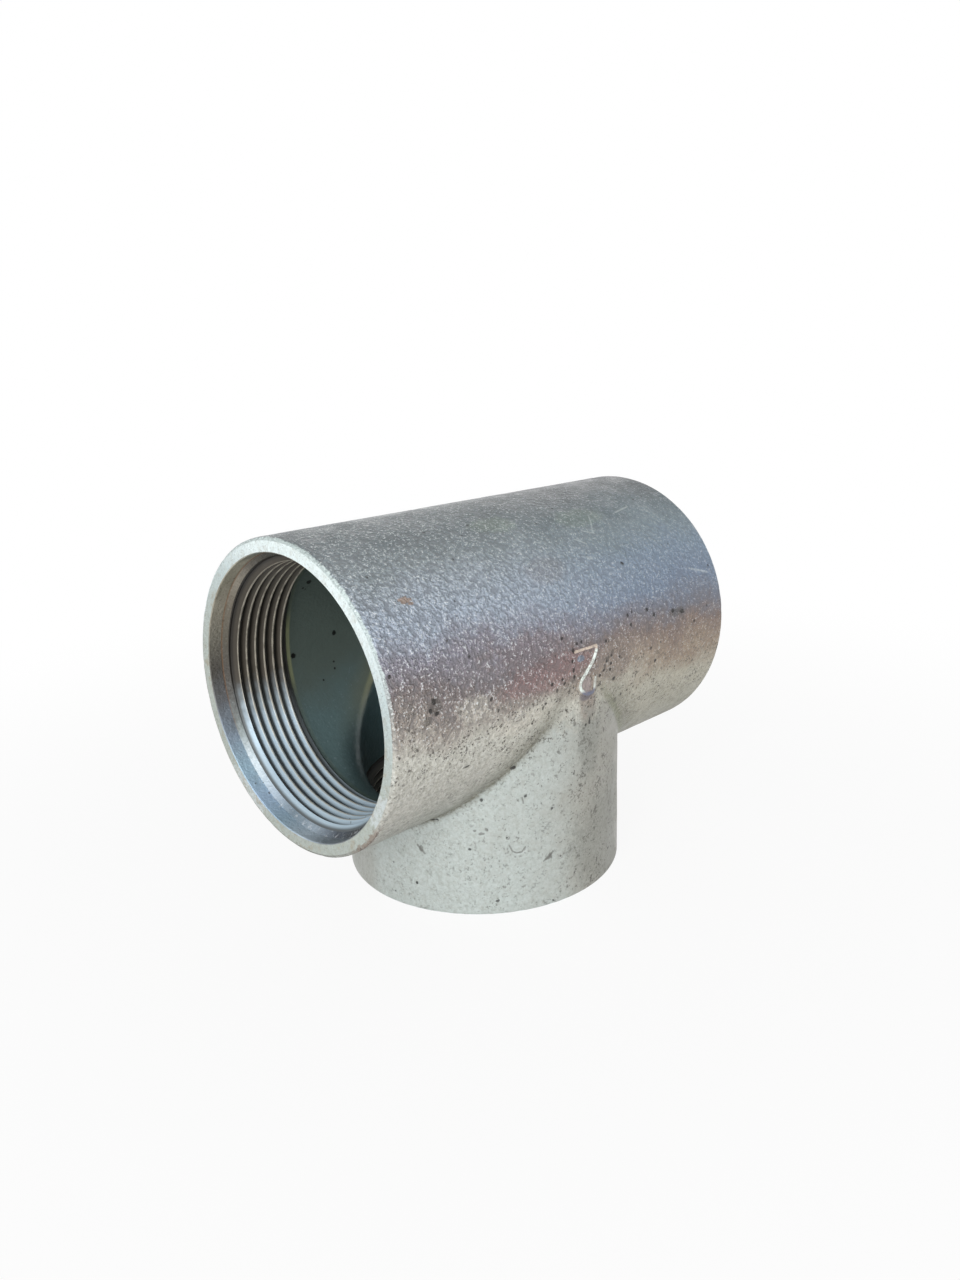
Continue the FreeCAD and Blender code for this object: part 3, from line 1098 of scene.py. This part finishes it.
def paintFace(where, look):
    x, y, z = parts(where)
    fray = ripple(where, 1.2, 4.0, 0.75)
    ofHeight, ofY = look["paintedLightLean"]
    across = timesPlus(minus(z, branchReach), ofHeight, times(y, ofY))
    across = timesPlus(fray, 0.5, work("DIVIDE", across, runRadius - 1.7))
    colour = heightRamp(across, look["paintedLightTints"])
    stretches = [
        ((-halfRun, toFar, branchReach + height), reach, evenly)
        for toFar, height, reach in look["paleStretches"]]
    paler = spotted(where, times(fray, 1.5), stretches)
    colour = layer(colour, look["pale"], paler, 0.7)
    # The dull and warm mottling is laid on more strongly where the face is painted as shaded
    shaded = between(across, 0.8, -0.2)
    mottled = between(fray, -0.06, 0.14)
    colour = layer(colour, look["dull"], mottled, timesPlus(shaded, 0.35, 0.25))
    warmth = between(cloud(where, 2.5, 3.0, 0.6), 0.52, 0.70)
    colour = layer(colour, look["warm"], warmth, timesPlus(shaded, 0.4, 0.25))
    flecks = between(cloud(where, 0.45, 2.0, 0.6), 0.58, 0.68)
    colour = layer(colour, look["speck"], flecks, 0.3)
    dots = dotted(where, *look["dots"])
    colour = layer(colour, look["speck"], dots, 0.6)
    colour = rusted(where, fray, colour)
    return {"Base Color": colour, "Normal": pebbled(where, 0.8, 0.10)}


def armSense(where):
    # For a place inside an arm: how deep it lies below the arm's own end face, how far from the
    # arm's axis, how high above the axis of the run, and whether the arm is one of the run's
    x, y, z = parts(where)
    up = minus(z, branchReach)
    beside = unsigned(x)
    inRun = work("GREATER_THAN", beside, casting["mouthsFrom"])
    ySquare = times(y, y)
    runOut = longSide(up, ySquare)
    branchOut = longSide(x, ySquare)
    out = timesPlus(inRun, minus(runOut, branchOut), branchOut)
    runDeep = minus(halfRun, beside)
    deep = timesPlus(inRun, minus(runDeep, z), z)
    return {"deep": deep, "out": out, "up": up, "inRun": inRun}


def roundRamp(y, up, stops):
    # Tints round the axis of the run, by the angle in degrees from its far side
    return heightRamp(degreesRound(up, y), stops)


def paintRecess(where, look):
    y = parts(where)[1]
    inside = armSense(where)
    deep = inside["deep"]
    blotches = ripple(where, 3.0, 4.0, 0.7)
    up = timesPlus(blotches, 9.0, inside["up"])
    floor = casting["recessDepth"]
    onLead = between(deep, floor - 0.05, floor + 0.05)
    wall = roundRamp(y, up, look["wallLitAndShaded"])
    colour = mixed(onLead, wall, roundRamp(y, up, look["leadLitAndShaded"]))
    # The grime blotches are laid on more strongly higher up, which also paints shade on the upper wall
    high = between(up, -12.0, 4.0, 0.15, 0.4)
    colour = layer(colour, look["grime"], between(blotches, 0.02, 0.2), high)
    toCorner = unsigned(minus(deep, floor))
    # White patches near the corner, stronger low down
    scraped = between(cloud(where, 1.1, 4.0, 0.75), 0.54, 0.66)
    scraped = times(scraped, between(toCorner, 1.6, 0.2, 0.1, 0.6))
    lower = between(up, -12.0, -18.0, 0.1, 0.7)
    colour = layer(colour, look["whitePatch"], scraped, lower)
    corner = times(between(toCorner, 0.22, 0.06), between(up, -18.0, -4.0, 0.0, 0.6))
    colour = layer(colour, look["cornerLine"], corner)
    dots = dotted(where, *look["dots"])
    colour = layer(colour, look["grime"], dots, 0.7)
    return {"Base Color": colour, "Normal": pebbled(where, 0.9, 0.08)}


def paintThread(where, look):
    inside = armSense(where)
    atFace = boreRadius + thread["firstCrest"] * thread["taper"]
    crestLine = timesPlus(inside["deep"], -thread["taper"], atFace)
    cut = work("DIVIDE", minus(inside["out"], crestLine), thread["depth"])
    streak = ripple(where, 2.5, 4.0, 0.65)
    up = timesPlus(streak, 8.0, inside["up"])
    # Lower in the mouth the thread is painted as lit, higher up as shaded
    low = times(between(up, -2.0, -18.0), inside["inRun"])
    flank = mixed(low, seen(*look["shadedUpperFlank"]), seen(*look["litLowerFlank"]))
    root = mixed(low, seen(*look["upperRootShade"]), seen(*look["lowerRootShade"]))
    colour = mixed(between(cut, 0.45, 0.9), flank, root)
    crestHighlight = between(streak, -0.2, 0.1, 0.3, 0.8)
    colour = layer(colour, look["crest"], between(cut, 0.14, 0.02), crestHighlight)
    dots = dotted(where, *look["dots"])
    colour = layer(colour, look["grime"], dots, 0.6)
    return {"Base Color": colour, "Roughness": between(streak, -0.2, 0.2, *look["gloss"])}


def paintChamber(where, look):
    x, y, z = parts(where)
    height = minus(z, branchReach)
    beside = unsigned(x)
    below = minus(minus(branchReach, z), beside)
    drift = ripple(where, 8.0, 3.0, 0.6)
    # Painted light: the lower wall is painted paler
    low = between(timesPlus(drift, 14.0, height), -2.0, -22.0)
    colour = mixed(low, seen(*look["wall"]), seen(*look["litLowWall"]))
    spray = between(cloud(where, 1.0, 3.0, 0.7), 0.56, 0.72)
    colour = layer(colour, look["paleSpray"], spray, times(low, 0.5))

    # Where the chambers cross: a painted lit band on the fillet, painted shade near the branch's hole,
    # and a painted yellow highlight along the crotch and the relief
    band = times(between(below, -9.0, -1.0), between(below, 2.6, 0.6))
    fading = between(height, -27.0, -14.0, 0.0, 0.55)
    colour = layer(colour, look["litCrotchBand"], band, fading)
    nearHole = between(height, -16.0, -25.0, 0.0, 0.8)
    colour = layer(colour, look["shadedLowCrotch"], between(below, -8.0, -2.0), nearHole)
    crotch = times(between(below, -2.0, -0.4), between(below, 2.2, 0.8))
    crotch = times(crotch, between(height, -22.0, -8.0))
    start = halfRun - casting["chamberStart"]
    relief = between(beside, start - 1.3, start - 0.7)
    aside = unsigned(minus(height, 0.5))
    relief = times(relief, between(aside, 12.0, 5.0, 0.15, 1.0))
    colour = layer(colour, look["yellowHighlight"], larger(crotch, relief), 0.8)
    colour = layer(colour, look["branchWall"], between(below, 1.0, 4.0))

    ragged = times(ripple(where, 0.7, 2.0), 1.2)
    spots = [(centre, reach, evenly) for centre, reach in look["spots"]]
    colour = layer(colour, look["dot"], spotted(where, ragged, spots))
    gloss = between(drift, -0.2, 0.2, *look["gloss"])
    return {"Base Color": colour, "Roughness": gloss, "Normal": pebbled(where, 1.6, 0.06)}


for name, look, paint in (
        ("galvanised_skin", skinFinish, paintSkin),
        ("end_face", faceFinish, paintFace),
        ("turned_recess", recessFinish, paintRecess),
        ("cut_thread", threadFinish, paintThread),
        ("chamber_wall", chamberFinish, paintChamber)):
    material, tree = newMaterial(name)
    painted = paint(millimetres(tree), look)
    shader = place("ShaderNodeBsdfPrincipled", {}, {**look["shine"], **painted})
    place("ShaderNodeOutputMaterial", {}, {"Surface": shader.outputs[0]})
    castingMesh.materials.append(material)
print("finishes: %d" % len(castingMesh.materials))

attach(tee, "root")
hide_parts("tee_body")


# Studio: a pale floor, a white surround and soft lights

studio = {
    "floorSize": 40.0,
    "floorDrop": 0.0001,
    "floorColour": (0.9, 0.9, 0.9),
    "floorGlow": 0.9,  # share of the floor's look that is plain white, near the part
    "shadowReach": (0.06, 0.30),  # the share rises to all of it between these distances
    "ambient": 0.33,
    "lights": [
        # name, place, size, watts
        ("keyLeft", (-0.65, -0.38, 0.26), 0.52, 4.35),
        ("frontFill", (0.20, -0.75, 0.12), 0.4, 1.6),
        ("overhead", (0.0, 0.1, 0.8), 0.6, 0.2),
        ("backRight", (0.55, 0.55, 0.3), 0.9, 1.7),
    ],
    "aim": (0.0, 0.0, 0.045),
}


def shownWhite(tree):
    # Rays that see the background itself: the camera's, and those that gloss sends out
    rays = place("ShaderNodeLightPath", {}, {}, tree).outputs
    either = larger(rays["Is Camera Ray"], rays["Is Glossy Ray"])
    return larger(either, rays["Is Transmission Ray"])


def makeFloor():
    half = studio["floorSize"] / 2
    mesh = bpy.data.meshes.new("floor")
    corners = [(-half, -half, 0), (half, -half, 0), (half, half, 0), (-half, half, 0)]
    mesh.from_pydata(corners, [], [(0, 1, 2, 3)])
    floor = bpy.data.objects.new("floor", mesh)
    floor.location.z = -studio["floorDrop"]
    bpy.context.scene.collection.objects.link(floor)
    material, tree = newMaterial("floor_paint")
    paint = place("ShaderNodeBsdfDiffuse", {}, {"Color": studio["floorColour"]}, tree)
    glow = place("ShaderNodeEmission", {}, {"Color": (1, 1, 1), "Strength": 1.0}, tree)
    here = place("ShaderNodeTexCoord", {}, {}, tree).outputs["Object"]
    away = vectorWork("LENGTH", here)
    white = between(away, *studio["shadowReach"], studio["floorGlow"], 1.0)
    clear = work("GREATER_THAN", away, (runRadius - 2.0) * mm)  # dark inside the branch
    share = times(shownWhite(tree), times(white, clear))
    both = place("ShaderNodeMixShader", {}, {0: share, 1: paint.outputs[0], 2: glow.outputs[0]})
    place("ShaderNodeOutputMaterial", {}, {"Surface": both.outputs[0]})
    mesh.materials.append(material)


def makeSurround():
    world = bpy.data.worlds.new("surround")
    world.use_nodes = True
    tree = world.node_tree
    tree.nodes.clear()
    strength = between(shownWhite(tree), 0, 1, studio["ambient"], 1.0)
    light = place("ShaderNodeBackground", {}, {"Color": (1, 1, 1), "Strength": strength})
    place("ShaderNodeOutputWorld", {}, {"Surface": light.outputs[0]})
    bpy.context.scene.world = world


def makeLight(name, where, size, watts):
    lamp = bpy.data.lights.new(name, "AREA")
    lamp.shape = "DISK"
    lamp.size = size
    lamp.energy = watts
    light = bpy.data.objects.new(name, lamp)
    light.location = where
    toward = Vector(studio["aim"]) - Vector(where)
    light.rotation_euler = toward.to_track_quat("-Z", "Y").to_euler()
    bpy.context.scene.collection.objects.link(light)


makeFloor()
makeSurround()
for light in studio["lights"]:
    makeLight(*light)
print("studio: floor, surround and %d lights" % len(studio["lights"]))


# Camera, as solved from the photograph

view = {
    "azimuth": -44.196,
    "elevation": 16.2412,
    "roll": -2.0238,
    "distance": 242.681,
    "aimHeight": 58.782,
    "slideRight": 0.8676,
    "slideUp": -3.514,
    "lens": 28.1175,
    "sensor": 36.0,
}


def makeCamera():
    azimuth, elevation, roll = (math.radians(view[name]) for name in ("azimuth", "elevation", "roll"))
    back = Vector((
        math.sin(azimuth) * math.cos(elevation),
        -math.cos(azimuth) * math.cos(elevation),
        math.sin(elevation)))
    level = Vector((0, 0, 1)).cross(back).normalized()
    upright = back.cross(level)
    right = math.cos(roll) * level + math.sin(roll) * upright
    up = -math.sin(roll) * level + math.cos(roll) * upright
    where = Vector((0, 0, view["aimHeight"])) + view["distance"] * back
    where += view["slideRight"] * right + view["slideUp"] * up
    lens = bpy.data.cameras.new("camera")
    lens.lens = view["lens"]
    lens.sensor_width = view["sensor"]
    lens.clip_start = 0.01
    camera = bpy.data.objects.new("camera", lens)
    camera.matrix_world = Matrix.Translation(where * mm) @ Matrix((right, up, back)).transposed().to_4x4()
    bpy.context.scene.collection.objects.link(camera)
    bpy.context.scene.camera = camera


makeCamera()
bpy.context.scene.view_settings.view_transform = "Standard"
bpy.context.view_layer.update()
